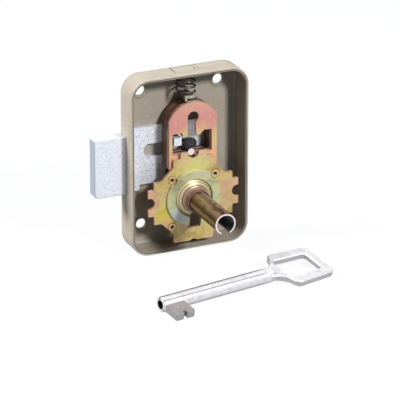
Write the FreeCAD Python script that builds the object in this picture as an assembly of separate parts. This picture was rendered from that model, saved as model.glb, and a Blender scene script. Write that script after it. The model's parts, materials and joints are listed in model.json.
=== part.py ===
import FreeCAD, Part

import math
import os

# A rim lock for a cupboard door, seen from its open side, with its hollow shank key.
# Millimetres. X runs to the right along the door, Y into the case, Z up.
# The origin is on the key's axis, in the plane of the case's rim, which lies on the door.

V = FreeCAD.Vector

# Clearances
slide_gap = 0.1
side_gap = 0.3
leaf_gap = 0.07
running_gap = 0.08
turning_gap = 0.3
tail_gap = 0.2
pack_gap = 0.5
wheel_room = 1.2

# Case, a pressed steel tray
wall = 1.6
case_left = 32.5
case_right = 29.0
case_height = 90.0
case_depth = 14.5
case_corner_r = 9.5
back_bend_r = 2.6
rim_round_r = 0.5
screw_r = 2.6
screw_from_left = 10.05
screw_from_right = 10.95
screw_from_bottom = 11.9
screw_from_top = 9.5
dimple_r = 4.4
dimple_rise = 0.5
dimple_land = 0.6

# Bolt
bolt_throw = 15.2
bolt_reach = 16.3
head_bottom = 4.4
head_height = 29.5
head_thickness = 6.7
head_inside = 3.2
head_round = 2.0
head_edge = 0.8
tail_thickness = 1.9
tail_rise = 1.8
tail_drop = 0.7
tail_right = 8.8
tail_foot_right = -23.7
tail_clear = 1.1
post_slot_left = 21.6
talon_width = 5.0
talon_depth = 6.2

# Guide post with the smaller pin that the levers slide on
post_length = 8.0
post_height = 6.3
post_centre_x = 2.1
post_centre_z = 23.4
post_rivet_r = 2.4
guide_pin_r = 1.7
guide_pin_x = -0.4
guide_pin_z = 22.9

# Levers
lever_count = 6
lever_share = 0.78
lever_left = 11.9
lever_right = 13.0
lever_arch = 8.3
lever_foot = 14.6
lever_belly = 12.4
lever_corner_r = 2.2
lever_hole_r = 2.85
lever_hole_x = 0.7
lever_hole_drop = 7.7
lever_lift = 1.5
window_left = 10.2
window_right = 10.4
window_bottom = 22.2
window_top = 33.2
window_corner_r = 0.9
neck_left = 2.1
neck_right = 2.1
tip_bottom = 31.0
left_tip_width = 2.5
right_tip_width = 1.8
tip_bevel = 0.5
tip_bevel_height = 1.2
tip_slope = 2.4
relief_left = 1.5
relief_right = 7.4
relief_rise = 2.0
relief_corner_r = 2.4

# Stump on the bolt that passes the levers' gates
stump_size = 3.9
stump_front = 2.6
stump_from_window = 1.1

# Drive wheel and the hub that turns with it
wheel_front = 0.3
wheel_thickness = 1.4
wheel_reach = 23.7
tooth_outer = 6.7
tooth_height = 3.1
gullet_r = 2.8
gullet_depth = 3.4
shoulder_width = 10.4
web_depth = 7.0
low_shoulder_more = 0.8
low_web_more = 1.1
web_round_r = 2.5
plain_arm_short = 1.4
plain_dip_r = 2.4
plain_dip = 0.8
wheel_corner_r = 0.5
ring_thickness = 1.2
ring_bore_r = 9.7
ring_edge = 0.3
rivet_from_web = 3.7
rivet_from_low_web = 2.3
rivet_side = 11.3
rivet_r = 1.9
rivet_bore_r = 1.15
rivet_head = 0.35
rivet_notch_r = 2.5
ring_past_rivet = 1.2
key_slot_top = 2.0
key_slot_bottom = 3.3
key_slot_right = 0.4
key_slot_past_ring = 1.3

# Collar that flares from the tube onto the wheel, with a bead and a sleeve in front
flare_gap = 0.5
flare_land = 0.5
flare_height = 2.9
flare_top_r = 6.2
bead_groove_r = 5.9
bead_groove_width = 0.3
bead_r = 6.4
bead_width = 1.3
sleeve_back_r = 6.1
sleeve_front_r = 5.8
sleeve_length = 2.9
sleeve_edge = 0.3

# Key tube, rolled from sheet with an open seam below
tube_r = 5.2
tube_wall = 0.7
tube_reach = 37.2
seam_width = 4.3

# Pin that the hollow key runs on
pin_r = 1.9
pin_reach = 3.0
pin_tip_chamfer = 0.6
pin_boss_length = 2.4
pin_rivet_r = 2.6
rivet_root = 0.5

# Springs and what they stand on
spring_x = -1.3
spring_front = 1.5
spring_back_gap = 1.4
spring_wire_r = 0.45
spring_pitch = 2.7
small_spring_share = 0.19
small_spring_r = 2.3
small_wire_r = 0.3
small_spring_x = 0.3
small_spring_y = 4.9
small_spring_pitch = 1.05
seat_length = 6.4
seat_thickness = 0.5
seat_corner_r = 1.0
clip_thickness = 0.7
clip_width = 5.0
lip_thickness = 0.7
lip_drop = 0.7
lip_leg_width = 0.9
lip_leg_drop = 1.7

# Closing plate in the rod way of the top wall
rod_way_left = 7.6
rod_way_right = 5.6
rod_way_front = 4.6
rod_way_from_back = 0.9
rod_plate_slit = 0.7
rod_plate_sink = 0.35
rod_notch_r = 1.0
rod_notch_from_right = 2.6

# Key, lying on the floor in front of the case
key_shank_r = 3.7
key_bore_r = 2.1
key_bore_depth = 20.0
key_shank_length = 62.0
key_tip_chamfer = 0.5
key_bit_start = 0.3
key_bit_length = 10.2
key_bit_r = 13.4
key_bit_thickness = 3.2
key_bit_corner_r = 0.8
key_notch_width = 2.2
key_notch_depth = 2.2
bow_flare = 6.5
bow_length = 23.0
bow_width = 28.2
bow_end_width = 24.6
bow_bar = 6.0
bow_far_bar = 5.0
bow_end_bar = 4.2
bow_bend_back = 3.6
bow_bend_out = 1.6
bow_corner_r = 3.4
bow_hole_corner_r = 1.6
bow_thickness = 3.2
bow_edge = 0.5
key_tip_x = -44.9
key_tip_y = -63.2
key_yaw = 10.25

# Places worked out from the sizes
case_below = wheel_reach + wheel_room + wall
case_top = case_height - case_below
inner_back = case_depth - wall
inner_top = case_top - wall
tail_back = inner_back - slide_gap
tail_front = tail_back - tail_thickness
head_front = tail_back - head_thickness
head_top = head_bottom + head_height
tail_top = head_top + tail_rise
tail_bottom = head_bottom - tail_drop
tail_left = -case_left + back_bend_r + side_gap
post_slot_half = post_height / 2 + side_gap / 2

lever_front = wheel_front + wheel_thickness + turning_gap
lever_back = tail_front - tail_gap
gaps_after = (1, 4)
leaf_gaps = (lever_count - 1 - len(gaps_after)) * leaf_gap
lever_thickness = (lever_back - lever_front - len(gaps_after) * pack_gap - leaf_gaps) / lever_count
lever_top = lever_share * inner_top
lever_shoulder = lever_top - lever_arch
lever_hole_z = lever_top - lever_hole_drop
stump_top = tip_bottom - side_gap
stump_left = -window_left + stump_from_window

shoulder_reach = wheel_reach - tooth_height
web_reach = wheel_reach - web_depth
plain_reach = wheel_reach - plain_arm_short
low_shoulder = shoulder_width + low_shoulder_more
low_web_reach = web_reach + low_web_more
rivet_above = web_reach + shoulder_width - rivet_side - rivet_from_web * math.sqrt(2)
rivet_below = low_web_reach + shoulder_width - rivet_side - rivet_from_low_web * math.sqrt(2)
ring_r = math.hypot(rivet_side, rivet_above) - ring_past_rivet
ring_front = wheel_front - ring_thickness
key_slot_r = ring_r + key_slot_past_ring
tube_bore_r = tube_r - tube_wall

key_bow_shoulder = key_shank_length + bow_flare
key_bow_end = key_bow_shoulder + bow_length

seat_bottom = lever_top + slide_gap
seat_top = seat_bottom + seat_thickness
spring_room = inner_top - slide_gap - seat_top - clip_thickness
small_spring_height = spring_room * small_spring_share
clip_bottom = seat_top + small_spring_height
clip_top = clip_bottom + clip_thickness
spring_outer_r = (inner_back - spring_front - spring_back_gap) / 2
spring_r = spring_outer_r - spring_wire_r
spring_y = spring_front + spring_outer_r


def solid_of(points, front, back):
    """A plate with a straight sided outline in X and Z, from the front to the back in Y."""
    corners = [V(x, front, z) for x, z in points]
    face = Part.Face(Part.makePolygon(corners + corners[:1]))
    return face.extrude(V(0, back - front, 0))


def block(left, right, front, back, bottom, top):
    """A box given by its limits."""
    return Part.makeBox(right - left, back - front, top - bottom, V(left, front, bottom))


def rod(radius, front, back, x=0.0, z=0.0):
    """A round bar along Y."""
    return Part.makeCylinder(radius, back - front, V(x, front, z), V(0, 1, 0))


def round_edges_along(shape, direction, radius, keep):
    """Rounds the straight edges that run along a direction, where keep says so."""
    chosen = []
    for edge in shape.Edges:
        if not isinstance(edge.Curve, Part.Line):
            continue
        along = edge.tangentAt(edge.FirstParameter)
        if abs(along.dot(direction)) > 0.999 and keep(edge.CenterOfMass):
            chosen.append(edge)
    return shape.makeFillet(radius, chosen)


def bevel_front(shape, front, size):
    """Breaks the edges that lie in a plane across Y."""
    return shape.makeChamfer(size, [e for e in shape.Edges if abs(e.CenterOfMass.y - front) < 0.01])


def oblong(length, height, front, back, x, z):
    """A bar along Y with round ends to the left and right."""
    radius = height / 2
    half = length / 2 - radius
    middle = block(x - half, x + half, front, back, z - radius, z + radius)
    ends = [rod(radius, front, back, x - half, z), rod(radius, front, back, x + half, z)]
    return middle.fuse(ends).removeSplitter()


def turned(shape, degrees):
    """A copy turned about the key's axis."""
    copy = shape.copy()
    copy.rotate(V(0, 0, 0), V(0, 1, 0), degrees)
    return copy


def screw_places():
    """The four screw holes, left to right and bottom to top."""
    places = []
    for x in (-case_left + screw_from_left, case_right - screw_from_right):
        for z in (-case_below + screw_from_bottom, case_top - screw_from_top):
            places.append((x, z))
    return places


def make_case():
    """The tray with its bolt way, rod way, dimpled screw holes and rivet holes."""
    outer = block(-case_left, case_right, 0, case_depth, -case_below, case_top)
    outer = round_edges_along(outer, V(0, 1, 0), case_corner_r, lambda p: True)
    back_edges = [e for e in outer.Edges if abs(e.CenterOfMass.y - case_depth) < 0.01]
    outer = outer.makeFillet(back_bend_r, back_edges)
    rim_edges = [e for e in outer.Edges if abs(e.CenterOfMass.y) < 0.01]
    outer = outer.makeFillet(rim_round_r, rim_edges)

    inner = block(-case_left + wall, case_right - wall, -1, inner_back,
                  -case_below + wall, case_top - wall)
    inner = round_edges_along(inner, V(0, 1, 0), case_corner_r - wall, lambda p: True)
    floor_edges = [e for e in inner.Edges if abs(e.CenterOfMass.y - inner_back) < 0.01]
    inner = inner.makeFillet(back_bend_r - wall, floor_edges)
    case = outer.cut(inner)

    for x, z in screw_places():
        land = screw_r + dimple_land
        slope = Part.makeCone(dimple_r, land, dimple_rise, V(x, inner_back, z), V(0, -1, 0))
        under = Part.makeCone(dimple_r, land, dimple_rise, V(x, case_depth, z), V(0, -1, 0))
        case = case.fuse(slope).cut(under)
        case = case.cut(rod(screw_r, inner_back - 2, case_depth + 1, x, z))

    bolt_way = block(-case_left - 1, -case_left + back_bend_r, head_front - side_gap, inner_back,
                     head_bottom - side_gap, head_top + side_gap)
    case = case.cut(bolt_way)
    rod_way = block(-rod_way_left, rod_way_right, rod_way_front, inner_back - rod_way_from_back,
                    inner_top - 1, case_top + 1)
    case = case.cut(rod_way)
    case = case.cut(rod(post_rivet_r, inner_back - 1, case_depth + 1, post_centre_x, post_centre_z))
    return case.cut(rod(pin_rivet_r, inner_back - 1, case_depth + 1))


def make_rod_plate():
    """The plate that closes the rod way, with a slit beside it and a notch in its front edge."""
    left = -rod_way_left + rod_plate_slit
    front = rod_way_front + leaf_gap
    back = inner_back - rod_way_from_back - leaf_gap
    right = rod_way_right - leaf_gap
    top = case_top - rod_plate_sink
    plate = block(left, right, front, back, inner_top, top)
    notch = rod(rod_notch_r, front - 1, front + 1, right - rod_notch_from_right, top)
    return plate.cut(notch)


def make_bolt():
    """The thick head outside the case and the thinner slotted tail inside it."""
    head_left = -case_left - bolt_reach
    head_right = -case_left + head_inside
    head = block(head_left, head_right, head_front, tail_back, head_bottom, head_top)
    head = round_edges_along(head, V(0, 1, 0), head_round,
                             lambda p: p.x < head_left + 1 and p.z < head_bottom + 1)
    head = round_edges_along(head, V(0, 0, 1), head_edge, lambda p: p.x < head_left + 1)

    arm_bottom = tube_r + slide_gap + tail_clear
    foot = block(tail_left, tail_foot_right, tail_front, tail_back, tail_bottom, tail_top)
    arm = block(tail_foot_right - 1, tail_right, tail_front, tail_back, arm_bottom, tail_top)
    bolt = head.fuse([foot, arm]).removeSplitter()

    slot_right = post_centre_x + post_length / 2 + side_gap
    slot_middle = (slot_right - post_slot_left) / 2
    slot = oblong(post_slot_left + slot_right, 2 * post_slot_half, tail_front - 1, tail_back + 1,
                  slot_middle, post_centre_z)
    talon_middle = -bolt_throw / 2
    talon = block(talon_middle - talon_width / 2, talon_middle + talon_width / 2,
                  tail_front - 1, tail_back + 1, arm_bottom - 1, arm_bottom + talon_depth)
    return bolt.cut(slot).cut(talon)


def make_stump():
    """The square stump that stands on the tail."""
    return block(stump_left, stump_left + stump_size, stump_front, tail_front,
                 stump_top - stump_size, stump_top)


def make_guide_post():
    """The oblong post in the bolt's slot, its rivet and the round pin for the levers."""
    base = oblong(post_length, post_height, tail_front, inner_back, post_centre_x, post_centre_z)
    pin = rod(guide_pin_r, lever_front, tail_front + 1, guide_pin_x, guide_pin_z)
    rivet = rod(post_rivet_r, inner_back - 1, case_depth, post_centre_x, post_centre_z)
    return base.fuse([pin, rivet]).removeSplitter()


def lever_outline(front, back):
    """The arch topped plate before its window is cut."""
    middle = (lever_right - lever_left) / 2
    left_foot = V(-lever_left, front, lever_foot)
    left_shoulder = V(-lever_left, front, lever_shoulder)
    right_shoulder = V(lever_right, front, lever_shoulder)
    right_foot = V(lever_right, front, lever_foot)
    edges = [Part.LineSegment(left_foot, left_shoulder).toShape(),
             Part.Arc(left_shoulder, V(middle, front, lever_top), right_shoulder).toShape(),
             Part.LineSegment(right_shoulder, right_foot).toShape(),
             Part.Arc(right_foot, V(middle, front, lever_belly), left_foot).toShape()]
    plate = Part.Face(Part.Wire(edges)).extrude(V(0, back - front, 0))
    return round_edges_along(plate, V(0, 1, 0), lever_corner_r, lambda p: p.z < lever_foot + 1)


def gate_window(front, back):
    """The two pockets, the neck between the two tips and the slot for the guide pin."""
    tip_left = -neck_left - left_tip_width
    tip_right = neck_right + right_tip_width
    bevel_top = tip_bottom + tip_bevel_height
    points = [(-window_left, window_bottom), (-window_left, window_top),
              (tip_left - tip_bevel, window_top), (tip_left, tip_bottom),
              (-neck_left - tip_bevel, tip_bottom), (-neck_left, bevel_top),
              (-neck_left, lever_hole_z), (neck_right, lever_hole_z),
              (neck_right, bevel_top), (neck_right + tip_bevel, tip_bottom),
              (tip_right, tip_bottom), (tip_right + tip_slope, window_top),
              (window_right, window_top), (window_right, window_bottom)]
    window = solid_of(points, front - 1, back + 1)
    window = round_edges_along(window, V(0, 1, 0), window_corner_r,
                               lambda p: p.x < -window_left + 0.1 or p.x > window_right - 0.1)
    half = guide_pin_r + side_gap
    slot_bottom = guide_pin_z - guide_pin_r - lever_lift - side_gap
    slot = block(guide_pin_x - half, guide_pin_x + half, front - 1, back + 1,
                 slot_bottom, window_bottom + 1)
    hole = rod(lever_hole_r, front - 1, back + 1, lever_hole_x, lever_hole_z)
    return window.fuse([slot, hole])


def inner_relief(front, back):
    """The wider opening of the levers behind the first, over the neck and the right tip."""
    top = lever_hole_z + relief_rise
    relief = block(-relief_left, relief_right, front - 1, back + 1, tip_bottom - 1, top)
    return round_edges_along(relief, V(0, 1, 0), relief_corner_r, lambda p: p.z > top - 0.1)


def make_lever(front, first):
    """One lever of the pack."""
    back = front + lever_thickness
    lever = lever_outline(front, back).cut(gate_window(front, back))
    if first:
        return lever
    return lever.cut(inner_relief(front, back))


def lever_fronts():
    """Where each lever starts in Y. Most lie close together, some leave a gap behind them."""
    fronts = [lever_front]
    for number in range(1, lever_count):
        gap = pack_gap if number in gaps_after else leaf_gap
        fronts.append(fronts[-1] + lever_thickness + gap)
    return fronts


def wheel_points():
    """The outline of the wheel: its right half from the top arm down to the plain one, then mirrored."""
    right = [(tooth_outer, wheel_reach), (tooth_outer, shoulder_reach),
             (shoulder_width, shoulder_reach), (shoulder_width, web_reach),
             (web_reach, shoulder_width), (shoulder_reach, shoulder_width),
             (shoulder_reach, tooth_outer), (wheel_reach, tooth_outer),
             (wheel_reach, -tooth_outer), (shoulder_reach, -tooth_outer),
             (shoulder_reach, -low_shoulder), (web_reach, -low_shoulder),
             (shoulder_width, -low_web_reach), (shoulder_width, -plain_reach)]
    return right + [(-x, z) for x, z in reversed(right)]


def make_drive_wheel():
    """The plate with three toothed arms and a plain one, its rivet holes and key slot."""
    back = wheel_front + wheel_thickness
    wheel = solid_of(wheel_points(), wheel_front, back)
    arms_from = (low_web_reach + shoulder_reach) / 2
    wheel = round_edges_along(wheel, V(0, 1, 0), wheel_corner_r,
                              lambda p: max(abs(p.x), abs(p.z)) > arms_from)
    wheel = round_edges_along(wheel, V(0, 1, 0), web_round_r,
                              lambda p: min(abs(p.x), abs(p.z)) > shoulder_width - 0.1
                              and max(abs(p.x), abs(p.z)) < arms_from)
    gullet_bottom = wheel_reach - gullet_depth
    gullet = rod(gullet_r, wheel_front - 1, back + 1, 0, gullet_bottom + gullet_r)
    gullet = gullet.fuse(block(-gullet_r, gullet_r, wheel_front - 1, back + 1,
                               gullet_bottom + gullet_r, wheel_reach + 1))
    for turn in (0, 1, 3):
        wheel = wheel.cut(turned(gullet, 90 * turn))
    wheel = wheel.cut(rod(plain_dip_r, wheel_front - 1, back + 1, 0, plain_dip - plain_reach - plain_dip_r))
    wheel = wheel.cut(rod(tube_r, wheel_front - 1, back + 1))
    for x, z in rivet_places():
        wheel = wheel.cut(rod(rivet_r, wheel_front - 1, back + 1, x, z))
    return wheel.cut(key_slot(wheel_front - 1, back + 1))


def rivet_places():
    """The four rivets, between the arms of the wheel, the lower two nearer the edge."""
    return [(side * rivet_side, z) for side in (-1, 1) for z in (rivet_above, -rivet_below)]


def key_slot(front, back):
    """The way for the key's bit, below the tube, wider at its lower end."""
    points = [(key_slot_right - key_slot_top, 0),
              (key_slot_right + key_slot_top, 0),
              (key_slot_right + key_slot_bottom, -key_slot_r),
              (key_slot_right - key_slot_bottom, -key_slot_r)]
    return solid_of(points, front, back)


def make_wheel_ring():
    """The flat ring on the wheel, notched round each rivet."""
    ring = bevel_front(rod(ring_r, ring_front, wheel_front), ring_front, ring_edge)
    ring = ring.cut(rod(ring_bore_r, ring_front - 1, wheel_front + 1))
    for x, z in rivet_places():
        ring = ring.cut(rod(rivet_notch_r, ring_front - 1, wheel_front + 1, x, z))
    return ring.cut(key_slot(ring_front - 1, wheel_front + 1))


def make_wheel_rivets():
    """Four hollow rivets in the wheel, each with a raised rim."""
    front = wheel_front - rivet_head
    rivets = []
    for x, z in rivet_places():
        body = rod(rivet_r, front, wheel_front + wheel_thickness, x, z)
        body = bevel_front(body, front, rivet_head / 2)
        rivets.append(body.cut(rod(rivet_bore_r, front - 1, wheel_front + wheel_thickness / 2, x, z)))
    return Part.makeCompound(rivets)


def make_hub_collar():
    """The collar that clasps the tube: a flared foot inside the ring, a bead and a sleeve."""
    foot_r = ring_bore_r - flare_gap
    flare_front = wheel_front - flare_height
    bead_back = flare_front - bead_groove_width
    bead_front = bead_back - bead_width
    front = bead_front - sleeve_length
    profile = [(foot_r, wheel_front), (foot_r, wheel_front - flare_land), (flare_top_r, flare_front),
               (bead_groove_r, flare_front), (bead_groove_r, bead_back), (bead_r, bead_back),
               (bead_r, bead_front), (sleeve_back_r, bead_front),
               (sleeve_front_r, front + sleeve_edge), (sleeve_front_r - sleeve_edge, front),
               (tube_r, front), (tube_r, wheel_front)]
    corners = [V(r, y, 0) for r, y in profile]
    section = Part.Face(Part.makePolygon(corners + corners[:1]))
    collar = section.revolve(V(0, 0, 0), V(0, 1, 0), 360)
    return collar.cut(key_slot(front - 1, wheel_front + 1))


def make_key_tube():
    """The rolled tube, open along its lower side."""
    back = inner_back - slide_gap
    tube = rod(tube_r, -tube_reach, back).cut(rod(tube_bore_r, -tube_reach - 1, back + 1))
    seam = block(-seam_width / 2, seam_width / 2, -tube_reach - 1, back + 1, -tube_r - 1, 0)
    return tube.cut(seam)


def make_key_pin():
    """The pin for the hollow key, with the boss that the tube turns on."""
    boss = rod(tube_bore_r - running_gap, inner_back - pin_boss_length, inner_back)
    pin = bevel_front(rod(pin_r, -pin_reach, inner_back), -pin_reach, pin_tip_chamfer)
    rivet = rod(pin_rivet_r, inner_back - rivet_root, case_depth)
    return pin.fuse([boss, rivet]).removeSplitter()


def bow_plate():
    """The flat bow in the key's own plane, wide at its shoulder and narrower at its end."""
    half = bow_width / 2
    end_half = bow_end_width / 2
    low = -bow_thickness / 2
    neck = V(key_shank_length - 1, -key_shank_r, low)
    shoulder = V(key_bow_shoulder, -half, low)
    bend = V(key_bow_shoulder - bow_bend_back, -key_shank_r - bow_bend_out, low)
    mirrored = [V(p.x, -p.y, low) for p in (shoulder, bend, neck)]
    near_corner = V(key_bow_end, -end_half, low)
    far_corner = V(key_bow_end, end_half, low)
    edges = [Part.Arc(neck, bend, shoulder).toShape(),
             Part.LineSegment(shoulder, near_corner).toShape(),
             Part.LineSegment(near_corner, far_corner).toShape(),
             Part.LineSegment(far_corner, mirrored[0]).toShape(),
             Part.Arc(*mirrored).toShape(),
             Part.LineSegment(mirrored[2], neck).toShape()]
    plate = Part.Face(Part.Wire(edges)).extrude(V(0, 0, bow_thickness))
    return round_edges_along(plate, V(0, 0, 1), bow_corner_r, lambda p: p.x > key_bow_shoulder - 1)


def bow_hole():
    """The opening of the bow."""
    half = bow_width / 2 - bow_bar
    end_half = bow_end_width / 2 - bow_far_bar
    end = key_bow_end - bow_end_bar
    points = [V(key_bow_shoulder, -half, -bow_thickness), V(end, -end_half, -bow_thickness),
              V(end, end_half, -bow_thickness), V(key_bow_shoulder, half, -bow_thickness)]
    hole = Part.Face(Part.makePolygon(points + points[:1])).extrude(V(0, 0, 2 * bow_thickness))
    return round_edges_along(hole, V(0, 0, 1), bow_hole_corner_r, lambda p: True)


def make_key():
    """The cast key, made along its shank with the bit to the side, then laid on the floor."""
    shank = Part.makeCylinder(key_shank_r, key_shank_length, V(0, 0, 0), V(1, 0, 0))
    tip_edge = [e for e in shank.Edges if abs(e.CenterOfMass.x) < 0.01]
    shank = shank.makeChamfer(key_tip_chamfer, tip_edge)
    bit = Part.makeBox(key_bit_length, key_bit_r, key_bit_thickness,
                       V(key_bit_start, -key_bit_r, -key_bit_thickness / 2))
    bit = round_edges_along(bit, V(0, 0, 1), key_bit_corner_r, lambda p: p.y < -key_bit_r + 1)
    notch_start = key_bit_start + (key_bit_length - key_notch_width) / 2
    notch = Part.makeBox(key_notch_width, key_notch_depth + 1, key_bit_thickness + 2,
                         V(notch_start, -key_bit_r - 1, -key_bit_thickness / 2 - 1))
    bow = bow_plate().cut(bow_hole())
    flat_edges = [e for e in bow.Edges if abs(abs(e.CenterOfMass.z) - bow_thickness / 2) < 0.01]
    bow = bow.makeChamfer(bow_edge, flat_edges)
    wedge = Part.makeCone(key_shank_r, bow_thickness / 2, bow_flare, V(key_shank_length, 0, 0), V(1, 0, 0))
    key = shank.fuse([bit.cut(notch), bow, wedge]).removeSplitter()
    key = key.cut(Part.makeCylinder(key_bore_r, key_bore_depth, V(-1, 0, 0), V(1, 0, 0)))

    roll = math.degrees(math.asin((key_shank_r - bow_thickness / 2) / (bow_width / 2)))
    key.rotate(V(0, 0, 0), V(1, 0, 0), roll)
    key.rotate(V(0, 0, 0), V(0, 0, 1), key_yaw)
    key.translate(V(key_tip_x, key_tip_y, 0))
    key.translate(V(0, 0, -case_below - key.optimalBoundingBox(False, False).ZMin))
    return key


def make_spring_seat():
    """The small plate that bridges the tops of all the levers."""
    seat = block(small_spring_x - seat_length / 2, small_spring_x + seat_length / 2,
                 lever_front, lever_back, seat_bottom, seat_top)
    return round_edges_along(seat, V(0, 0, 1), seat_corner_r, lambda p: True)


def make_spring_clip():
    """The strip between the small coil and the big one, with its front edge folded down."""
    left = spring_x - clip_width / 2
    right = spring_x + clip_width / 2
    lip_front = lever_front - lip_thickness
    plate = block(left, right, lever_front, lever_back, clip_bottom, clip_top)
    lip = block(left, right, lip_front, lever_front, clip_bottom - lip_drop, clip_top)
    leg = block(left, left + lip_leg_width, lip_front, lever_front, clip_bottom - lip_leg_drop, clip_bottom)
    return plate.fuse([lip, leg]).removeSplitter()


def arc_from(start, along, end):
    """The arc from start to end that leaves start along a direction."""
    chord = end - start
    unit = V(chord).normalize()
    side = along - unit * along.dot(unit)
    half_turn = math.atan2(side.Length, along.dot(unit))
    middle = start + chord * 0.5
    if side.Length > 1e-9:
        middle = middle + V(side).normalize() * (chord.Length / 2 * math.tan(half_turn / 2))
    return Part.Arc(start, middle, end).toShape()


def biarc(start, start_along, end, end_along):
    """Two arcs that join two points with a smooth tangent."""
    span = end - start
    both = start_along + end_along
    bend = 2 * (1 - start_along.dot(end_along))
    reach = (-span.dot(both) + math.sqrt(span.dot(both) ** 2 + bend * span.dot(span))) / bend
    joint = (start + start_along * reach + end - end_along * reach) * 0.5
    second = arc_from(end, end_along * -1, joint)
    return [arc_from(start, start_along, joint), Part.Arc(joint, second.valueAt(
        (second.FirstParameter + second.LastParameter) / 2), end).toShape()]


def make_coil(radius, wire_r, pitch, height, x, y, bottom):
    """A round wire wound upwards to a height, swept as one tube along its own helix."""
    def place(turn):
        angle = 2 * math.pi * turn
        return V(x + radius * math.cos(angle), y - radius * math.sin(angle), bottom + wire_r + pitch * turn)

    def heading(turn):
        angle = 2 * math.pi * turn
        run = 2 * math.pi * radius
        return V(-run * math.sin(angle), -run * math.cos(angle), pitch).normalize()

    turns = (height - 2 * wire_r) / pitch
    steps = math.ceil(turns * 4)
    edges = []
    for step in range(steps):
        start, end = step * turns / steps, (step + 1) * turns / steps
        edges += biarc(place(start), heading(start), place(end), heading(end))
    path = Part.Wire(edges)
    section = Part.Wire(Part.makeCircle(wire_r, place(0), heading(0)))
    coil = path.makePipeShell([section], True, False)
    print("coil radius", round(radius, 2), "turns", round(turns, 2),
          "least gap to itself", round(least_gap(place, turns, wire_r), 2),
          "volume ratio", round(coil.Volume / (math.pi * wire_r ** 2 * path.Length), 3))
    return coil


def least_gap(place, turns, wire_r):
    """The least space between turns, measured on points of the wire's centre line."""
    count = int(turns * 72)
    points = [place(turns * i / count) for i in range(count + 1)]
    best = 1e9
    for i, first in enumerate(points):
        for second in points[i + 36:]:
            best = min(best, (second - first).Length)
    return best - 2 * wire_r


def make_lever_spring():
    """The big coil between the clip and the top wall."""
    room = inner_top - clip_top - 2 * slide_gap
    return make_coil(spring_r, spring_wire_r, spring_pitch, room, spring_x, spring_y, clip_top + slide_gap)


def make_small_spring():
    """The small coil on the seat, below the clip."""
    return make_coil(small_spring_r, small_wire_r, small_spring_pitch, small_spring_height,
                     small_spring_x, small_spring_y, seat_top)


def main():
    parts = {"case": make_case(), "rod_plate": make_rod_plate(), "bolt": make_bolt(),
             "bolt_stump": make_stump(), "guide_post": make_guide_post(),
             "drive_wheel": make_drive_wheel(), "wheel_ring": make_wheel_ring(),
             "wheel_rivets": make_wheel_rivets(), "hub_collar": make_hub_collar(),
             "key_tube": make_key_tube(), "key_pin": make_key_pin(), "key": make_key(),
             "spring_seat": make_spring_seat(), "spring_clip": make_spring_clip(),
             "lever_spring": make_lever_spring(), "small_spring": make_small_spring()}
    for number, front in enumerate(lever_fronts()):
        parts["lever_%d" % (number + 1)] = make_lever(front, number == 0)
    os.makedirs("parts", exist_ok=True)
    for name, shape in parts.items():
        shape.exportStep("parts/%s.step" % name)
        print(name, "valid", shape.isValid(), "volume", round(shape.Volume, 1))


main()
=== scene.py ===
import json
import math

import bpy
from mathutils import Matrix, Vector


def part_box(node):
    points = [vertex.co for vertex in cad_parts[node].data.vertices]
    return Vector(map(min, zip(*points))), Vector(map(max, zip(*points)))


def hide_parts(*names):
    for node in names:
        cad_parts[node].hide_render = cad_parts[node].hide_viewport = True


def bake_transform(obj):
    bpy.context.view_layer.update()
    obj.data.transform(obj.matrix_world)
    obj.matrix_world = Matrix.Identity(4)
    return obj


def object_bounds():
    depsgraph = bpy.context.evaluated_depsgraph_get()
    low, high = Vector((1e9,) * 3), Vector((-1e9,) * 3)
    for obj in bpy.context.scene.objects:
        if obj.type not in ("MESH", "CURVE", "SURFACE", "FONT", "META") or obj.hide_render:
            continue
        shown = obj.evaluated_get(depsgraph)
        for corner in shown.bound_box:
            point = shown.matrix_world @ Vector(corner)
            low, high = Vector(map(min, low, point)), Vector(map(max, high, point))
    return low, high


# A cupboard rim lock seen from its open side, with its pipe key on the floor in front of it.
# Metres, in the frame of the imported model: X right, Y into the case, Z up, origin on the key's axis.

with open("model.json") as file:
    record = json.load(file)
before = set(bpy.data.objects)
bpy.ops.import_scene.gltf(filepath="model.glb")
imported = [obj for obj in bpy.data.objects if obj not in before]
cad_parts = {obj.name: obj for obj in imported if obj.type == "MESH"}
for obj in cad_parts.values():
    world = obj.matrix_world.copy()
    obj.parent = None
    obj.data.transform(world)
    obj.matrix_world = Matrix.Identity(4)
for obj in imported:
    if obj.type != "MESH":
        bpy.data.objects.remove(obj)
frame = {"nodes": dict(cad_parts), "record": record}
cad_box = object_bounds()
nodes_of_frame = frame["nodes"]

MM = 0.001
X, Y, Z = range(3)

# Camera
camera_azimuth = 24.0
camera_elevation = 22.1
camera_distance = 1544 * MM
camera_target = Vector((3.3, 0.0, -1.9)) * MM
camera_focal_px = 3200.0
camera_clip_end = 100.0
image_px = 400.0
sensor_mm = 36.0

# Light
world_strength = 0.12
world_colour = (0.62, 0.88, 1.0)
key_light_place = (0.37, -1.00, 0.75)
key_light_power = 18.0
key_light_size = 0.20
top_light_place = (-1.15, 0.25, 0.95)
top_light_power = 27.0
top_light_size = 0.50

# Floor
floor_half = 3.0
floor_white = 0.95
floor_dimmer = 0.98
floor_rough = 0.9
floor_glow = 0.90
floor_bounce = 0.22

# Big spring
wire_r = 0.45 * MM
wire_pitch = 2.7 * MM
wire_sides = 10
steps_per_turn = 40

# Below, a pair of values says where a colour is absent and where it has its full strength.

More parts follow.
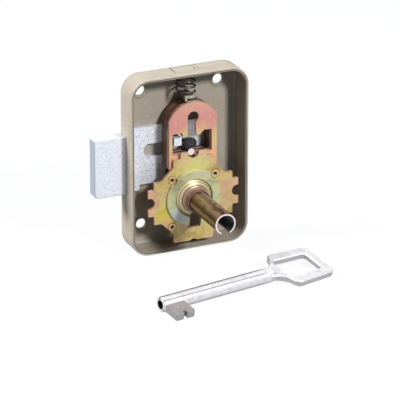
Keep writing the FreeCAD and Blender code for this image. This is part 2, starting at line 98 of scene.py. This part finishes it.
# Case
case_specular = 0.25
case_corner_r = 9.5 * MM
case_sides = (1.55 * MM, 1.35 * MM)
case_back = (14.2 * MM, 14.4 * MM)
case_top = (62.4 * MM, 62.8 * MM)
case_rim = (0.4 * MM, 0.1 * MM)
rim_groove_in = 1.15 * MM
rim_groove_half = 0.13 * MM
rim_groove = (rim_groove_half * 1.8, rim_groove_half)
slit_x = -7.4 * MM
slit_y = 8.4 * MM
slit_width = (0.55 * MM, 0.35 * MM)
slit_length = (3.6 * MM, 3.2 * MM)
spring_end_x = 3.8 * MM
spring_end_y = 7.7 * MM
spring_end = (0.75 * MM, 0.5 * MM)

# Bolt, and the steel posts that were cut off at their front
bolt_tail = (-33 * MM, -30 * MM)
bolt_marks_head = 0.18
bolt_marks_tail = 0.32
bolt_lines_per_noise = 11.0
cut_post = (2.3 * MM, 2.1 * MM)

# Surfaces by how squarely they face along an axis, from 0 to 1
cut_edge = (0.8, 0.3)
shaded_end_face = (0.3, 0.8)
bow_edge = (0.7, 0.3)

# Wheel, ring, rivets, collar and tube. The rivets' places and radii are in plain millimetres.
rivet_places = ((-11.3, 10.6), (11.3, 10.6), (-11.3, -13.6), (11.3, -13.6))
rivet_shade_ring = (2.0, 2.4)
rivet_flange_highlight = (1.7, 2.0)
rivet_bore_shade = (0.9, 1.2)
wheel_tips = (19 * MM, 23 * MM)
collar_sleeve_r = 5.2 * MM
collar_foot_r = 9.4 * MM
collar_groove_pitch = 0.9 * MM
tube_inside_shade = (4.65 * MM, 4.55 * MM)
tube_front = (-36.95 * MM, -37.1 * MM)
tube_reflection_bands_from = math.pi / 4

# Levers and the small pieces on them
lever_height = (14 * MM, 48 * MM)
second_lever_shows = (38 * MM, 33 * MM)
edge_behind = (0, 0.2 * MM)
seat_front = (3.2 * MM, 2.2 * MM)

# Key. Each painted reflection line has its direction round the shank and half its width, in degrees,
# and a strength.
key_yaw = math.radians(10.25)
key_tip = (-44.9 * MM, -63.2 * MM)
key_shank_r = 3.7 * MM
key_bore_shade = (2.22 * MM, 2.14 * MM)
key_beside_shank = (key_shank_r + 0.1 * MM, key_shank_r + 0.5 * MM)
key_near_tip = (22 * MM, 21 * MM)
key_shank = (60 * MM, 56 * MM)
key_bow = (60 * MM, 63 * MM)
key_reflection_lines = ((80, 20, 0.92), (134, 6, 0.72), (-144, 13, 0.60))
key_reflection_line_core = 0.3


def srgb(red, green, blue):
    """A colour as it would be read off a screen, from 0 to 255, made linear."""
    linear = []
    for value in (red, green, blue):
        share = value / 255
        linear.append(share / 12.92 if share < 0.04045 else ((share + 0.055) / 1.055) ** 2.4)
    return tuple(linear)


class Finish:
    """One procedural material. Its textures use the piece's own coordinates and ride with it."""

    def __init__(self, name, metallic=0.0):
        self.material = bpy.data.materials.new(name)
        self.material.use_nodes = True
        self.nodes = self.material.node_tree.nodes
        self.links = self.material.node_tree.links
        self.shader = self.nodes["Principled BSDF"]
        self.shader.inputs["Metallic"].default_value = metallic
        coordinates = self.nodes.new("ShaderNodeTexCoord")
        self.place = coordinates.outputs["Object"]
        self.normal = coordinates.outputs["Normal"]

    def put(self, socket, value):
        """Links an output to a socket, or sets a plain value."""
        if isinstance(value, bpy.types.NodeSocket):
            self.links.new(value, socket)
        elif isinstance(value, tuple) and len(value) == 3 and socket.type == "RGBA":
            socket.default_value = (*value, 1)
        else:
            socket.default_value = value

    def maths(self, operation, first, second=0.0):
        """One step of arithmetic."""
        node = self.nodes.new("ShaderNodeMath")
        node.operation = operation
        self.put(node.inputs[0], first)
        self.put(node.inputs[1], second)
        return node.outputs[0]

    def away(self, value, middle):
        """How far a value is from a middle, on either side."""
        return self.maths("ABSOLUTE", self.maths("SUBTRACT", value, middle))

    def distance(self, first, second):
        """The distance that two steps at right angles make."""
        squares = [self.maths("POWER", step, 2.0) for step in (first, second)]
        return self.maths("SQRT", self.maths("ADD", *squares))

    def along(self, axis, of=None):
        """The X, Y or Z share of the place, or of another vector."""
        node = self.nodes.new("ShaderNodeSeparateXYZ")
        self.put(node.inputs[0], of or self.place)
        return node.outputs[axis]

    def facing(self, axis):
        """How squarely the surface faces along an axis, from 0 to 1."""
        return self.maths("ABSOLUTE", self.along(axis, self.normal))

    def between(self, value, low, high):
        """0 at low and 1 at high, clamped outside them."""
        node = self.nodes.new("ShaderNodeMapRange")
        self.put(node.inputs["Value"], value)
        node.inputs["From Min"].default_value = low
        node.inputs["From Max"].default_value = high
        return node.outputs[0]

    def spot(self, x, z, near, far):
        """1 within a distance of a place in X and Z and 0 beyond another, in millimetres."""
        across = self.maths("SUBTRACT", self.along(X), x * MM)
        upward = self.maths("SUBTRACT", self.along(Z), z * MM)
        return self.between(self.distance(across, upward), far * MM, near * MM)

    def both(self, first, second):
        """Where two masks overlap."""
        return self.maths("MULTIPLY", first, second)

    def stretched(self, x, y, z):
        """The place with its axes scaled, for grain that runs one way."""
        node = self.nodes.new("ShaderNodeMapping")
        self.put(node.inputs["Vector"], self.place)
        node.inputs["Scale"].default_value = (x, y, z)
        return node.outputs[0]

    def noise(self, size_mm, detail=4.0, where=None):
        """Noise from 0 to 1 with patches of about size_mm."""
        node = self.nodes.new("ShaderNodeTexNoise")
        self.put(node.inputs["Vector"], where or self.place)
        node.inputs["Scale"].default_value = 1 / (size_mm * MM)
        node.inputs["Detail"].default_value = detail
        return node.outputs["Fac"]

    def ramp(self, factor, *stops):
        """Colours along a factor. Each stop is a position and a colour."""
        node = self.nodes.new("ShaderNodeValToRGB")
        elements = node.color_ramp.elements
        elements.remove(elements[1])
        elements[0].position = stops[0][0]
        elements[0].color = (*stops[0][1], 1)
        for position, colour in stops[1:]:
            elements.new(position).color = (*colour, 1)
        self.put(node.inputs[0], factor)
        return node.outputs[0]

    def tint(self, base, mask, colour, strength=1.0):
        """The base with a colour laid over it where the mask is 1."""
        # The mix node's sockets for colours are inputs 6 and 7 and output 2.
        node = self.nodes.new("ShaderNodeMix")
        node.data_type = "RGBA"
        self.put(node.inputs[0], mask if strength == 1.0 else self.both(mask, strength))
        self.put(node.inputs[6], base)
        self.put(node.inputs[7], colour)
        return node.outputs[2]

    def colour(self, value):
        """The base colour."""
        self.put(self.shader.inputs["Base Color"], value)

    def rough(self, factor, low, high):
        """Roughness that varies between two values."""
        node = self.nodes.new("ShaderNodeMapRange")
        self.put(node.inputs["Value"], factor)
        node.inputs["To Min"].default_value = low
        node.inputs["To Max"].default_value = high
        self.put(self.shader.inputs["Roughness"], node.outputs[0])

    def bump(self, *layers):
        """Relief from one or more heights, each with its depth in millimetres."""
        normal = None
        for height, depth_mm in layers:
            node = self.nodes.new("ShaderNodeBump")
            node.inputs["Distance"].default_value = depth_mm * MM
            self.put(node.inputs["Height"], height)
            if normal:
                self.put(node.inputs["Normal"], normal)
            normal = node.outputs[0]
        self.put(self.shader.inputs["Normal"], normal)


def case_outline_depth(finish):
    """How far a place lies inside the case's rounded outline, in X and Z."""
    low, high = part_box("case")
    sides = []
    for axis in (X, Z):
        middle = (low[axis] + high[axis]) / 2
        straight = (high[axis] - low[axis]) / 2 - case_corner_r
        sides.append(finish.maths("SUBTRACT", finish.away(finish.along(axis), middle), straight))
    corner = finish.distance(*(finish.maths("MAXIMUM", side, 0.0) for side in sides))
    flat = finish.maths("MINIMUM", finish.maths("MAXIMUM", *sides), 0.0)
    return finish.maths("SUBTRACT", case_corner_r, finish.maths("ADD", corner, flat))


def painted_shade_on_top_wall(finish):
    """Where shade is painted on the top wall: over the slit beside the rod way's plate and round the
    hole for the spring's end.
    """
    across = finish.between(finish.away(finish.along(X), slit_x), *slit_width)
    lengthwise = finish.between(finish.away(finish.along(Y), slit_y), *slit_length)
    from_x = finish.maths("SUBTRACT", finish.along(X), spring_end_x)
    from_y = finish.maths("SUBTRACT", finish.along(Y), spring_end_y)
    wire = finish.between(finish.distance(from_x, from_y), *spring_end)
    marks = finish.maths("MAXIMUM", finish.both(across, lengthwise), wire)
    return finish.both(marks, finish.between(finish.along(Z), *case_top))


def case_finish(name):
    """Pressed steel in thin lacquer that browns in patches, with painted light that makes it paler
    outside, bands there, and painted shade in the rim's groove and on the top wall's slit and spring
    end.
    """
    finish = Finish(name)
    finish.shader.inputs["Specular IOR Level"].default_value = case_specular
    patches = finish.noise(22, detail=5)
    speckle = finish.noise(0.7, detail=3)
    drawn = finish.noise(2.5, detail=4, where=finish.stretched(1, 1, 0.12))
    layers = finish.noise(1.3, detail=2, where=finish.stretched(0.03, 1, 0.03))
    bands = finish.between(layers, 0.50, 0.66)
    depth = case_outline_depth(finish)
    outside = finish.maths("MAXIMUM", finish.between(depth, *case_sides),
                           finish.between(finish.along(Y), *case_back))
    groove = finish.both(finish.between(finish.away(depth, rim_groove_in), *rim_groove),
                         finish.between(finish.along(Y), *case_rim))
    base = finish.ramp(patches, (0.30, srgb(166, 160, 152)), (0.52, srgb(162, 152, 139)),
                       (0.68, srgb(152, 134, 114)))
    # Painted light: the outer faces are painted paler than the inside.
    base = finish.tint(base, outside, srgb(206, 194, 176), strength=0.6)
    base = finish.tint(base, finish.both(bands, outside), srgb(150, 136, 120), strength=0.30)
    base = finish.tint(base, drawn, srgb(128, 119, 108), strength=0.30)
    base = finish.tint(base, finish.between(speckle, 0.64, 0.72), srgb(122, 110, 95))
    # Painted shade along the rim's groove.
    base = finish.tint(base, groove, srgb(70, 60, 50))
    # Painted shade at the top wall's slit and round the spring's end.
    base = finish.tint(base, painted_shade_on_top_wall(finish), srgb(66, 56, 48))
    finish.colour(base)
    finish.rough(patches, 0.42, 0.58)
    finish.bump((speckle, 0.012), (drawn, 0.03), (groove, -0.15))
    return finish.material


def zinc_finish(name):
    """Bright zinc with grey blotches and fine flow lines, stronger on the tail, and painted shade on
    the ends.
    """
    finish = Finish(name, metallic=0.35)
    blotch = finish.noise(1.3, detail=6)
    grain = finish.noise(0.30, detail=4, where=finish.stretched(0.3, 1, 1))
    hills = finish.maths("MULTIPLY", finish.noise(4.5, detail=2), bolt_lines_per_noise)
    lines = finish.between(finish.away(finish.maths("FRACT", hills), 0.5), 0.16, 0.04)
    on_tail = finish.between(finish.along(X), *bolt_tail)
    strength = finish.maths("ADD", bolt_marks_head, finish.maths("MULTIPLY", on_tail, bolt_marks_tail))
    base = finish.ramp(blotch, (0.34, srgb(212, 216, 226)), (0.50, srgb(234, 237, 244)),
                       (0.68, srgb(208, 212, 222)))
    base = finish.tint(base, finish.between(grain, 0.56, 0.78), srgb(166, 170, 184), strength=0.6)
    base = finish.tint(base, finish.both(lines, strength), srgb(138, 144, 162))
    # Painted shade: faces turned to either side are darker than the front.
    base = finish.tint(base, finish.between(finish.facing(X), *shaded_end_face), srgb(166, 172, 185))
    finish.colour(base)
    finish.rough(grain, 0.30, 0.52)
    finish.bump((grain, 0.010), (blotch, 0.03))
    return finish.material


def dark_steel_finish(name):
    """Plain turned steel, dark and a little pitted, bright where it was cut off at its front."""
    finish = Finish(name, metallic=0.6)
    pits = finish.noise(0.5, detail=4)
    base = finish.ramp(pits, (0.35, srgb(40, 41, 44)), (0.60, srgb(78, 77, 78)),
                       (0.75, srgb(118, 116, 116)))
    base = finish.tint(base, finish.between(finish.along(Y), *cut_post), srgb(232, 214, 212))
    finish.colour(base)
    finish.rough(pits, 0.35, 0.60)
    finish.bump((pits, 0.05))
    return finish.material


def tint_round_rivets(finish, base, radii, colour):
    """The base with a disc of colour at each rivet."""
    for x, z in rivet_places:
        base = finish.tint(base, finish.spot(x, z, *radii), colour)
    return base


def wheel_finish(name):
    """Yellow chromate that turns olive and green in clouds and pink at the teeth."""
    finish = Finish(name, metallic=0.30)
    clouds = finish.noise(8, detail=4)
    grain = finish.noise(0.5, detail=3)
    base = finish.ramp(clouds, (0.32, srgb(150, 130, 66)), (0.44, srgb(190, 166, 98)),
                       (0.52, srgb(202, 184, 118)), (0.60, srgb(194, 158, 116)),
                       (0.68, srgb(200, 152, 124)))
    # Place in X and Z, inner and outer radius, all in millimetres, then strength and colour
    for x, z, near, far, strength, colour in (
            (0, 17, 4, 11, 0.75, srgb(206, 202, 128)),
            (-15.5, -7, 1.5, 6, 0.85, srgb(200, 184, 66)),
            (20, 0, 4, 12, 0.6, srgb(200, 158, 130)),
            (-6, 22, 2, 6, 0.7, srgb(212, 172, 140)),
            (-13, -13, 1, 6, 0.5, srgb(212, 158, 112))):
        base = finish.tint(base, finish.spot(x, z, near, far), colour, strength)
    reach = finish.maths("MAXIMUM", finish.maths("ABSOLUTE", finish.along(X)),
                         finish.maths("ABSOLUTE", finish.along(Z)))
    tips = finish.both(finish.between(reach, *wheel_tips), finish.between(clouds, 0.40, 0.55))
    base = finish.tint(base, tips, srgb(216, 168, 142), strength=0.8)
    base = finish.tint(base, finish.between(finish.facing(Y), *cut_edge), srgb(196, 150, 132))
    base = finish.tint(base, finish.between(grain, 0.48, 0.70), srgb(150, 126, 78), strength=0.30)
    # A painted shadow ring round each rivet.
    finish.colour(tint_round_rivets(finish, base, rivet_shade_ring, srgb(120, 88, 56)))
    finish.rough(grain, 0.32, 0.52)
    finish.bump((grain, 0.012), (clouds, 0.05))
    return finish.material


def ring_finish(name):
    """Pale greenish chromate with silver and olive clouds."""
    finish = Finish(name, metallic=0.40)
    clouds = finish.noise(6, detail=4, where=finish.stretched(1, 1, 1.3))
    grain = finish.noise(0.4, detail=3)
    base = finish.ramp(clouds, (0.32, srgb(140, 140, 112)), (0.44, srgb(182, 184, 140)),
                       (0.54, srgb(196, 190, 138)), (0.66, srgb(172, 182, 172)))
    base = finish.tint(base, finish.spot(-8, -9, 2, 8), srgb(164, 176, 178), strength=0.8)
    olive = finish.both(finish.spot(-9, 8, 2, 6), finish.between(grain, 0.40, 0.60))
    base = finish.tint(base, olive, srgb(126, 130, 106))
    # A painted shadow ring round each rivet.
    finish.colour(tint_round_rivets(finish, base, rivet_shade_ring, srgb(120, 88, 56)))
    finish.rough(grain, 0.30, 0.50)
    finish.bump((grain, 0.012))
    return finish.material


def turned_finish(name):
    """Gold chromate with turned rings on collar and rivets, mauve brown on the collar's sleeve; the
    collar's colour rings also hold painted highlights and painted shade, and the rivets carry a
    painted highlight and painted shade.
    """
    finish = Finish(name, metallic=0.55)
    radius = finish.distance(finish.along(X), finish.along(Z))
    grooves = finish.maths("SINE", finish.maths("MULTIPLY", radius, 2 * math.pi / collar_groove_pitch))
    stain = finish.noise(2.6, detail=4)
    outward = finish.between(radius, collar_sleeve_r, collar_foot_r)
    uneven = finish.maths("MULTIPLY", finish.maths("SUBTRACT", stain, 0.5), 0.10)
    # Colours by radius: the chromate's gold and mauve brown, with painted highlight rings and painted
    # shade rings where the collar steps.
    base = finish.ramp(finish.maths("ADD", outward, uneven),
                       (0.05, srgb(78, 54, 46)), (0.18, srgb(128, 98, 88)),
                       (0.28, srgb(198, 168, 152)), (0.36, srgb(88, 66, 50)),
                       (0.47, srgb(158, 142, 100)), (0.61, srgb(214, 202, 160)),
                       (0.73, srgb(124, 108, 68)), (0.85, srgb(220, 212, 170)),
                       (0.95, srgb(150, 130, 84)), (1.00, srgb(186, 150, 104)))
    # A painted highlight on each rivet's flange and painted shade in its bore.
    base = tint_round_rivets(finish, base, rivet_flange_highlight, srgb(226, 190, 146))
    finish.colour(tint_round_rivets(finish, base, rivet_bore_shade, srgb(58, 40, 30)))
    finish.rough(stain, 0.25, 0.42)
    finish.bump((grooves, 0.01), (stain, 0.03))
    return finish.material


def tube_finish(name):
    """Rolled tube in dark olive chromate with streaks along it, painted reflection bands round it,
    painted shade inside, and bright at its cut end.
    """
    finish = Finish(name, metallic=0.7)
    streaks = finish.noise(1.4, detail=5, where=finish.stretched(1, 0.06, 1))
    stain = finish.noise(5, detail=4)
    # Painted reflections: bright and dark bands by the angle round the tube, made uneven by the
    # streaks.
    angle = finish.maths("ARCTAN2", finish.along(Z), finish.along(X))
    half_turns = finish.maths("DIVIDE", finish.maths("SUBTRACT", angle, tube_reflection_bands_from), math.pi)
    around = finish.maths("FRACT", half_turns)
    uneven = finish.maths("SUBTRACT", finish.maths("ADD", streaks, stain), 1.0)
    base = finish.ramp(finish.maths("ADD", around, finish.maths("MULTIPLY", uneven, 0.22)),
                       (0.02, srgb(40, 28, 20)), (0.12, srgb(108, 82, 66)),
                       (0.18, srgb(190, 158, 146)), (0.24, srgb(40, 26, 18)),
                       (0.34, srgb(78, 58, 32)), (0.42, srgb(150, 124, 100)),
                       (0.50, srgb(112, 90, 50)), (0.62, srgb(60, 42, 24)),
                       (0.74, srgb(146, 120, 70)), (0.86, srgb(76, 54, 32)),
                       (0.98, srgb(44, 30, 20)))
    radius = finish.distance(finish.along(X), finish.along(Z))
    # Painted shade inside the tube.
    base = finish.tint(base, finish.between(radius, *tube_inside_shade), srgb(112, 120, 130))
    base = finish.tint(base, finish.between(finish.along(Y), *tube_front), srgb(240, 222, 218))
    finish.colour(base)
    finish.rough(streaks, 0.24, 0.42)
    finish.bump((streaks, 0.05))
    return finish.material


def lever_edge_light_and_shade(finish, grain):
    """The levers' cut edges, with painted light and shade: plain in front, painted shade further back,
    painted light in the hole, painted shade in the window.
    """
    # The edges are painted shaded from the front lever back; the second lever's edge is left unshaded
    # where it rises.
    first_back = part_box("lever_1")[1][Y]
    second_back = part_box("lever_2")[1][Y]
    one_more = finish.maths("MULTIPLY", finish.between(finish.along(Z), *second_lever_shows),
                            second_back - first_back)
    bright_depth = finish.maths("ADD", first_back, one_more)
    behind = finish.between(finish.maths("SUBTRACT", finish.along(Y), bright_depth), *edge_behind)
    brown = finish.ramp(grain, (0.40, srgb(78, 48, 38)), (0.62, srgb(128, 88, 68)))
    # A painted light patch in the hole.
    brown = finish.tint(brown, finish.spot(2.5, 39, 4.5, 6), srgb(236, 222, 188))
    # Painted shade in the window.
    brown = finish.tint(brown, finish.spot(1.5, 25, 8.8, 9.6), srgb(44, 46, 50))
    return finish.tint(srgb(214, 170, 140), behind, brown)


def lever_finish(name):
    """Rainbow chromate: pink above, yellow green in the middle, orange below."""
    finish = Finish(name, metallic=0.22)
    clouds = finish.noise(8, detail=4)
    grain = finish.noise(0.45, detail=3, where=finish.stretched(1, 1, 0.15))
    height = finish.between(finish.along(Z), *lever_height)
    uneven = finish.maths("MULTIPLY", finish.maths("SUBTRACT", clouds, 0.5), 0.45)
    base = finish.ramp(finish.maths("ADD", height, uneven),
                       (0.05, srgb(212, 156, 124)), (0.30, srgb(214, 170, 130)),
                       (0.46, srgb(202, 180, 118)), (0.58, srgb(202, 148, 124)),
                       (0.72, srgb(198, 132, 126)), (0.95, srgb(204, 148, 130)))
    base = finish.tint(base, finish.between(grain, 0.52, 0.72), srgb(236, 196, 176), strength=0.3)
    # The cut edges take painted light and shade.
    edge = finish.between(finish.facing(Y), *cut_edge)
    finish.colour(finish.tint(base, edge, lever_edge_light_and_shade(finish, grain)))
    finish.rough(grain, 0.35, 0.55)
    finish.bump((grain, 0.02), (clouds, 0.04))
    return finish.material


def light_steel_finish(name):
    """Zinc on the small pressed pieces, bright near the front and darker from a little way back, as on
    the levers' seat.
    """
    finish = Finish(name, metallic=0.5)
    grain = finish.noise(0.6, detail=4)
    bright = finish.ramp(grain, (0.35, srgb(124, 120, 112)), (0.65, srgb(204, 198, 182)))
    finish.colour(finish.tint(srgb(96, 90, 84), finish.between(finish.along(Y), *seat_front), bright))
    finish.rough(grain, 0.30, 0.50)
    finish.bump((grain, 0.02))
    return finish.material


def spring_finish(name):
    """Dark spring wire with a drawn surface."""
    finish = Finish(name, metallic=0.8)
    grain = finish.noise(0.4, detail=3)
    finish.colour(finish.ramp(grain, (0.35, srgb(46, 43, 42)), (0.65, srgb(98, 90, 84))))
    finish.rough(grain, 0.25, 0.42)
    finish.bump((grain, 0.01))
    return finish.material


def key_directions(finish):
    """A place on the key as its way along the shank, beside it and above it."""
    from_tip_x = finish.maths("SUBTRACT", finish.along(X), key_tip[X])
    from_tip_y = finish.maths("SUBTRACT", finish.along(Y), key_tip[Y])
    forward = finish.maths("ADD", finish.maths("MULTIPLY", from_tip_x, math.cos(key_yaw)),
                           finish.maths("MULTIPLY", from_tip_y, math.sin(key_yaw)))
    sideways = finish.maths("SUBTRACT", finish.maths("MULTIPLY", from_tip_y, math.cos(key_yaw)),
                            finish.maths("MULTIPLY", from_tip_x, math.sin(key_yaw)))
    axis_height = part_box("key")[0][Z] + key_shank_r
    return forward, sideways, finish.maths("SUBTRACT", finish.along(Z), axis_height)


def key_finish(name):
    """Satin nickel on a casting: painted reflection lines along the shank, a darker bit, painted shade
    on the bow's sides and in the bore.
    """
    finish = Finish(name, metallic=0.45)
    cast = finish.noise(3, detail=4)
    grain = finish.noise(0.45, detail=4)
    base = finish.ramp(cast, (0.32, srgb(204, 202, 206)), (0.55, srgb(222, 221, 225)),
                       (0.72, srgb(196, 193, 198)))
    base = finish.tint(base, finish.between(grain, 0.60, 0.78), srgb(184, 180, 186))
    forward, sideways, upward = key_directions(finish)
    on_shank = finish.between(forward, *key_shank)
    around = finish.maths("ARCTAN2", upward, sideways)
    # Painted reflections: dark lines along the shank at fixed directions round it.
    for direction, half_width, strength in key_reflection_lines:
        line = finish.between(finish.away(around, math.radians(direction)), math.radians(half_width),
                              math.radians(half_width * key_reflection_line_core))
        base = finish.tint(base, finish.both(line, on_shank), srgb(72, 70, 76), strength)
    # Painted shade on the bow's sides.
    shaded_bow_sides = finish.both(finish.between(finish.facing(Z), *bow_edge),
                            finish.between(forward, *key_bow))
    base = finish.tint(base, shaded_bow_sides, srgb(140, 138, 143), strength=0.6)
    radius = finish.distance(sideways, upward)
    near_tip = finish.between(forward, *key_near_tip)
    # The bit is darker than the shank.
    bit = finish.both(finish.between(radius, *key_beside_shank), near_tip)
    base = finish.tint(base, bit, srgb(124, 119, 122), strength=0.75)
    # Painted shade inside the bore.
    bore = finish.both(finish.between(radius, *key_bore_shade), near_tip)
    finish.colour(finish.tint(base, bore, srgb(40, 50, 52)))
    finish.rough(grain, 0.22, 0.38)
    finish.bump((grain, 0.02), (cast, 0.10))
    return finish.material


finishes = {"case_paint": case_finish, "zinc_bolt": zinc_finish, "dark_steel": dark_steel_finish,
            "yellow_chromate": wheel_finish, "green_chromate": ring_finish,
            "rivet_brass": turned_finish, "tube_chromate": tube_finish,
            "lever_chromate": lever_finish, "light_steel": light_steel_finish,
            "spring_steel": spring_finish, "key_nickel": key_finish}


def dress_nodes(materials):
    """Gives each node of the frame the finish of its own slot."""
    for subpart in frame["record"]["subparts"]:
        piece = nodes_of_frame[subpart["node"]]
        piece.data.materials.clear()
        piece.data.materials.append(materials[subpart["material_slot"]])


def add_object(name, data):
    """A new object in the scene."""
    thing = bpy.data.objects.new(name, data)
    bpy.context.scene.collection.objects.link(thing)
    return thing


def coil_mesh(name, centre, radius, bottom, top):
    """A round wire wound upwards between two heights."""
    turns = (top - bottom - 2 * wire_r) / wire_pitch
    steps = math.ceil(turns * steps_per_turn)
    points = []
    for step in range(steps + 1):
        turn = step * turns / steps
        angle = 2 * math.pi * turn
        outward = Vector((math.cos(angle), -math.sin(angle), 0))
        middle = Vector((centre[0], centre[1], bottom + wire_r + wire_pitch * turn)) + outward * radius
        for side in range(wire_sides):
            round_wire = 2 * math.pi * side / wire_sides
            points.append(middle + (outward * math.cos(round_wire)
                                    + Vector((0, 0, math.sin(round_wire)))) * wire_r)
    faces = []
    for step in range(steps):
        for side in range(wire_sides):
            first = step * wire_sides + side
            second = step * wire_sides + (side + 1) % wire_sides
            faces.append((first, first + wire_sides, second + wire_sides, second))
    faces.append(tuple(range(wire_sides)))
    faces.append(tuple(reversed(range(steps * wire_sides, (steps + 1) * wire_sides))))
    mesh = bpy.data.meshes.new(name)
    mesh.from_pydata(points, [], faces)
    mesh.polygons.foreach_set("use_smooth", [True] * len(faces))
    return add_object(name, mesh)


def make_spring(material):
    """The big coil, which stretches between the levers and the top wall."""
    low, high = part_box("lever_spring")
    centre = ((low[0] + high[0]) / 2, (low[1] + high[1]) / 2)
    radius = (high[1] - low[1]) / 2 - wire_r
    coil = coil_mesh("spring_coil", centre, radius, low[2], high[2])
    coil.data.materials.append(material)
    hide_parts("lever_spring")
    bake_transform(coil)


def stand(thing, place, direction):
    """Puts a camera or a lamp at a place, looking in a direction."""
    thing.location = place
    thing.rotation_euler = direction.to_track_quat("-Z", "Y").to_euler()


def make_camera():
    """The camera at the photograph's angle."""
    azimuth = math.radians(camera_azimuth)
    elevation = math.radians(camera_elevation)
    away = Vector((-math.sin(azimuth) * math.cos(elevation),
                   -math.cos(azimuth) * math.cos(elevation),
                   math.sin(elevation)))
    data = bpy.data.cameras.new("camera")
    data.sensor_width = sensor_mm
    data.lens = sensor_mm * camera_focal_px / image_px
    data.clip_end = camera_clip_end
    camera = add_object("camera", data)
    stand(camera, camera_target + away * camera_distance, -away)
    bpy.context.scene.camera = camera


def area_light(name, place, size, power):
    """A soft square lamp that faces the lock."""
    data = bpy.data.lights.new(name, "AREA")
    data.size = size
    data.energy = power
    stand(add_object(name, data), place, camera_target - Vector(place))


def background_or(links, nodes, seen, other):
    """Mixes two shaders so that camera, mirror and glass rays see the first one."""
    path = nodes.new("ShaderNodeLightPath")
    direct = path.outputs["Is Camera Ray"]
    for ray in ("Is Glossy Ray", "Is Transmission Ray"):
        either = nodes.new("ShaderNodeMath")
        either.operation = "MAXIMUM"
        links.new(direct, either.inputs[0])
        links.new(path.outputs[ray], either.inputs[1])
        direct = either.outputs[0]
    mix = nodes.new("ShaderNodeMixShader")
    links.new(direct, mix.inputs[0])
    links.new(other.outputs[0], mix.inputs[1])
    links.new(seen.outputs[0], mix.inputs[2])
    return mix


def make_world():
    """Plain soft light all round, with white behind the object."""
    world = bpy.data.worlds.new("world")
    world.use_nodes = True
    nodes = world.node_tree.nodes
    links = world.node_tree.links
    nodes.clear()
    seen = nodes.new("ShaderNodeBackground")
    seen.inputs["Color"].default_value = (1, 1, 1, 1)
    seen.inputs["Strength"].default_value = 1.0
    soft = nodes.new("ShaderNodeBackground")
    soft.inputs["Color"].default_value = (*world_colour, 1)
    soft.inputs["Strength"].default_value = world_strength
    mix = background_or(links, nodes, seen, soft)
    out = nodes.new("ShaderNodeOutputWorld")
    links.new(mix.outputs[0], out.inputs["Surface"])
    bpy.context.scene.world = world


def floor_finish(name):
    """White that keeps the shadow where it is seen, and a duller paint for the light it returns."""
    finish = Finish(name)
    white = (floor_white,) * 3
    dimmer = (floor_white * floor_dimmer,) * 3
    finish.colour(finish.ramp(finish.noise(30, detail=3), (0.3, white), (0.7, dimmer)))
    finish.shader.inputs["Roughness"].default_value = floor_rough
    glow = finish.nodes.new("ShaderNodeEmission")
    glow.inputs["Strength"].default_value = 1.0
    lifted = finish.nodes.new("ShaderNodeMixShader")
    lifted.inputs[0].default_value = floor_glow
    finish.links.new(finish.shader.outputs[0], lifted.inputs[1])
    finish.links.new(glow.outputs[0], lifted.inputs[2])
    dull = finish.nodes.new("ShaderNodeBsdfDiffuse")
    dull.inputs["Color"].default_value = (floor_bounce, floor_bounce, floor_bounce, 1)
    mix = background_or(finish.links, finish.nodes, lifted, dull)
    finish.links.new(mix.outputs[0], finish.nodes["Material Output"].inputs["Surface"])
    return finish.material


def make_floor():
    """The white floor that the lock stands on."""
    level = cad_box[0][2]
    signs = ((-1, -1), (1, -1), (1, 1), (-1, 1))
    mesh = bpy.data.meshes.new("floor")
    mesh.from_pydata([(x * floor_half, y * floor_half, level) for x, y in signs], [], [(0, 1, 2, 3)])
    mesh.materials.append(floor_finish("floor_white"))
    floor = add_object("floor", mesh)


materials = {name: make(name) for name, make in finishes.items()}
dress_nodes(materials)
make_spring(materials["spring_steel"])
make_camera()
make_world()
area_light("key_light", key_light_place, key_light_size, key_light_power)
area_light("top_light", top_light_place, top_light_size, top_light_power)
make_floor()
bpy.context.scene.view_settings.view_transform = "Standard"
